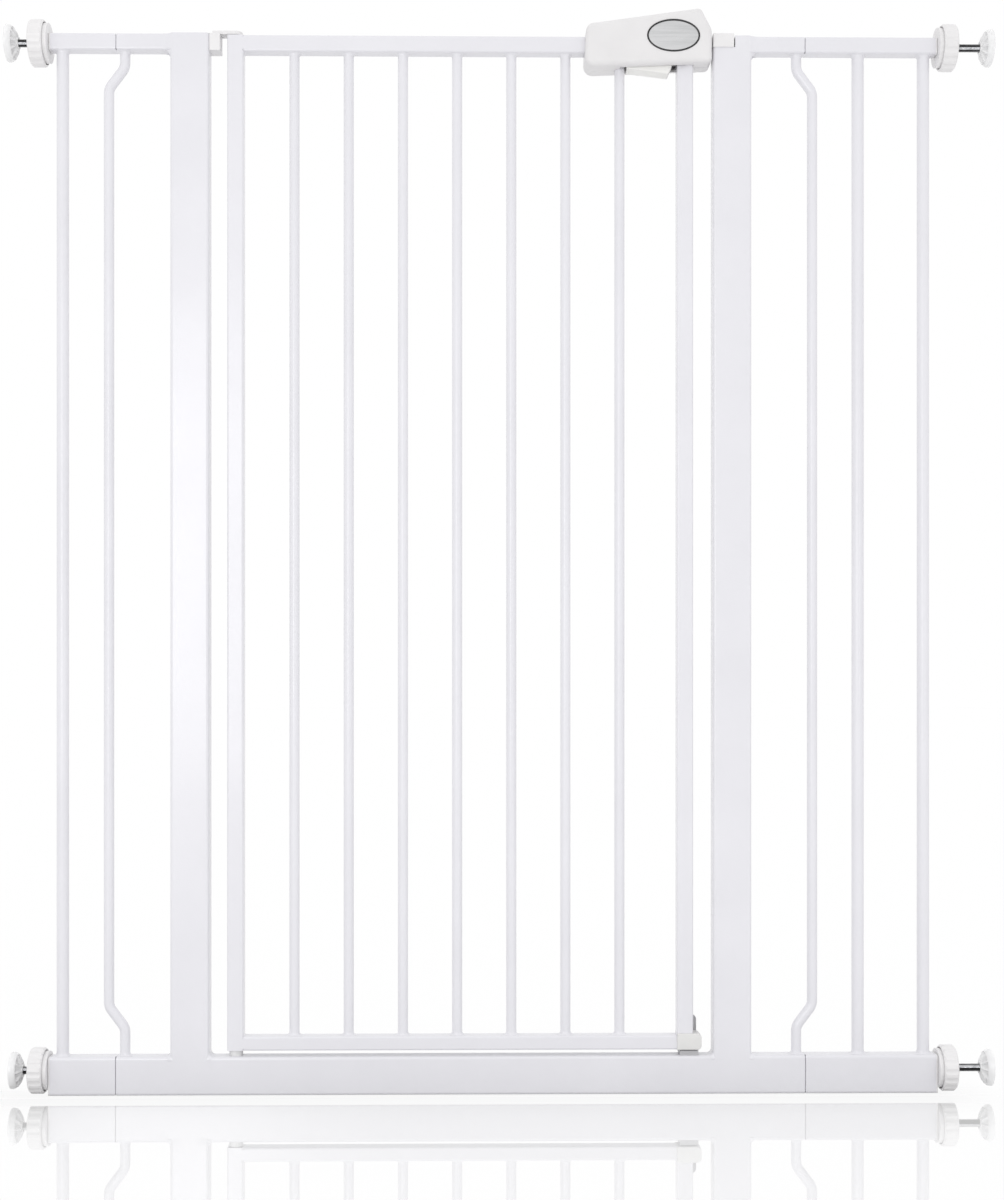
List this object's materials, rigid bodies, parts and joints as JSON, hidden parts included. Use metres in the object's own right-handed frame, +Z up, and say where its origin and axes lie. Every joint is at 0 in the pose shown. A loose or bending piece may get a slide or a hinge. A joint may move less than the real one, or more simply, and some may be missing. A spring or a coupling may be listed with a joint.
{
  "type": "pet gate",
  "caption": "Pressure-fit steel pet gate: welded barred frame with side extensions, a swing door with a squeeze latch, and screw-out wall pads worked by hand wheels.",
  "frame": {"origin": "on the floor, midway between the two posts, in the middle plane of the tubes", "axes": "+X across the doorway towards the latch, +Y to the back, +Z up"},
  "size_m": [0.9692, 0.0446, 1.0648],
  "materials": {
    "powder_coated_steel": "satin white powder coat",
    "white_plastic": "moulded, soft gloss",
    "cream_plastic": "moulded, satin",
    "chrome_thread": "bright plated thread",
    "pad_rubber": "milky soft plastic",
    "bush_plastic": "self-lubricating",
    "bright_steel": "zinc plated",
    "badge_metal": "brushed, bare",
    "dark_steel": "grey coat"
  },
  "bodies": {
    "frame": {"frame_bottom_rail": "powder_coated_steel", "frame_left_post": "powder_coated_steel", "frame_right_post": "powder_coated_steel", "frame_left_top_stub": "powder_coated_steel", "frame_right_top_stub": "powder_coated_steel", "frame_left_bent_bar": "powder_coated_steel", "frame_right_bent_bar": "powder_coated_steel", "left_extension_top_tube": "powder_coated_steel", "left_extension_bottom_tube": "powder_coated_steel", "left_extension_bar": "powder_coated_steel", "left_extension_spigots": "powder_coated_steel", "right_extension_top_tube": "powder_coated_steel", "right_extension_bottom_tube": "powder_coated_steel", "right_extension_inner_bar": "powder_coated_steel", "right_extension_outer_bar": "powder_coated_steel", "right_extension_spigots": "powder_coated_steel", "left_top_end_plug": "white_plastic", "left_bottom_end_plug": "white_plastic", "right_top_end_plug": "white_plastic", "right_bottom_end_plug": "white_plastic", "top_hinge_bracket": "white_plastic", "top_hinge_pin": "bright_steel", "bottom_hinge_bush": "bush_plastic", "latch_catch": "white_plastic", "door_stop_bracket": "dark_steel"},
    "door": {"door_hinge_stile": "powder_coated_steel", "door_latch_stile": "powder_coated_steel", "door_top_rail": "powder_coated_steel", "door_bottom_rail": "powder_coated_steel", "door_bar_1": "powder_coated_steel", "door_bar_2": "powder_coated_steel", "door_bar_3": "powder_coated_steel", "door_bar_4": "powder_coated_steel", "door_bar_5": "powder_coated_steel", "door_bar_6": "powder_coated_steel", "door_bar_7": "powder_coated_steel", "top_hinge_bush": "bush_plastic", "bottom_hinge_pin": "bright_steel", "latch_housing_front": "white_plastic", "latch_housing_back": "white_plastic", "latch_housing_screws": "bright_steel", "badge_plate": "badge_metal", "trigger_pivot_pin": "bright_steel", "bolt_spring": "bright_steel", "spring_stop": "bush_plastic", "door_corner_cap": "cream_plastic"},
    "trigger": {"trigger": "cream_plastic"},
    "latch_bolt": {"latch_bolt": "bush_plastic"},
    "left_top_wheel": {"left_top_hand_wheel": "white_plastic"},
    "left_top_spindle": {"left_top_spindle_rod": "chrome_thread", "left_top_wall_pad": "pad_rubber"},
    "left_bottom_wheel": {"left_bottom_hand_wheel": "white_plastic"},
    "left_bottom_spindle": {"left_bottom_spindle_rod": "chrome_thread", "left_bottom_wall_pad": "pad_rubber"},
    "right_top_wheel": {"right_top_hand_wheel": "white_plastic"},
    "right_top_spindle": {"right_top_spindle_rod": "chrome_thread", "right_top_wall_pad": "pad_rubber"},
    "right_bottom_wheel": {"right_bottom_hand_wheel": "white_plastic"},
    "right_bottom_spindle": {"right_bottom_spindle_rod": "chrome_thread", "right_bottom_wall_pad": "pad_rubber"}
  },
  "joints": [
    {"name": "door_swing", "type": "hinge", "parent": "frame", "child": "door", "pos_m": [-0.2216, 0, 0.54], "axis": [0, 0, -1], "range_deg": [0, 90]},
    {"name": "trigger_squeeze", "type": "hinge", "parent": "door", "child": "trigger", "pos_m": [0.1668, 0, 1.0155], "axis": [0, -1, 0], "range_deg": [0, 15], "stiffness_Nm_per_rad": 0.3, "springref_deg": -17.19},
    {"name": "latch_bolt_slide", "type": "slide", "parent": "door", "child": "latch_bolt", "axis": [-1, 0, 0], "range_m": [0, 0.005], "deforming": ["bolt_spring"]},
    {"name": "left_top_wheel_turn", "type": "hinge", "parent": "frame", "child": "left_top_wheel", "pos_m": [-0.4023, 0, 1.032], "axis": [1, 0, 0], "range_deg": [-3225.6, 9446.4]},
    {"name": "left_top_spindle_slide", "type": "slide", "parent": "frame", "child": "left_top_spindle", "axis": [-1, 0, 0], "range_m": [-0.01121, 0.03281]},
    {"name": "left_bottom_wheel_turn", "type": "hinge", "parent": "frame", "child": "left_bottom_wheel", "pos_m": [-0.4023, 0, 0.0235], "axis": [1, 0, 0], "range_deg": [-1929.6, 10742.4]},
    {"name": "left_bottom_spindle_slide", "type": "slide", "parent": "frame", "child": "left_bottom_spindle", "axis": [-1, 0, 0], "range_m": [-0.00671, 0.03731]},
    {"name": "right_top_wheel_turn", "type": "hinge", "parent": "frame", "child": "right_top_wheel", "pos_m": [0.4671, 0, 1.032], "axis": [-1, 0, 0], "range_deg": [-6912, 5760]},
    {"name": "right_top_spindle_slide", "type": "slide", "parent": "frame", "child": "right_top_spindle", "axis": [1, 0, 0], "range_m": [-0.02401, 0.02001]},
    {"name": "right_bottom_wheel_turn", "type": "hinge", "parent": "frame", "child": "right_bottom_wheel", "pos_m": [0.4671, 0, 0.0235], "axis": [-1, 0, 0], "range_deg": [-6912, 5760]},
    {"name": "right_bottom_spindle_slide", "type": "slide", "parent": "frame", "child": "right_bottom_spindle", "axis": [1, 0, 0], "range_m": [-0.02401, 0.02001]}
  ],
  "couplings": [
    {"joint": "latch_bolt_slide", "follows": "trigger_squeeze", "m_per_rad": 0.019},
    {"joint": "left_top_spindle_slide", "follows": "left_top_wheel_turn", "m_per_rad": 0.00019894},
    {"joint": "left_bottom_spindle_slide", "follows": "left_bottom_wheel_turn", "m_per_rad": 0.00019894},
    {"joint": "right_top_spindle_slide", "follows": "right_top_wheel_turn", "m_per_rad": 0.00019894},
    {"joint": "right_bottom_spindle_slide", "follows": "right_bottom_wheel_turn", "m_per_rad": 0.00019894}
  ]
}
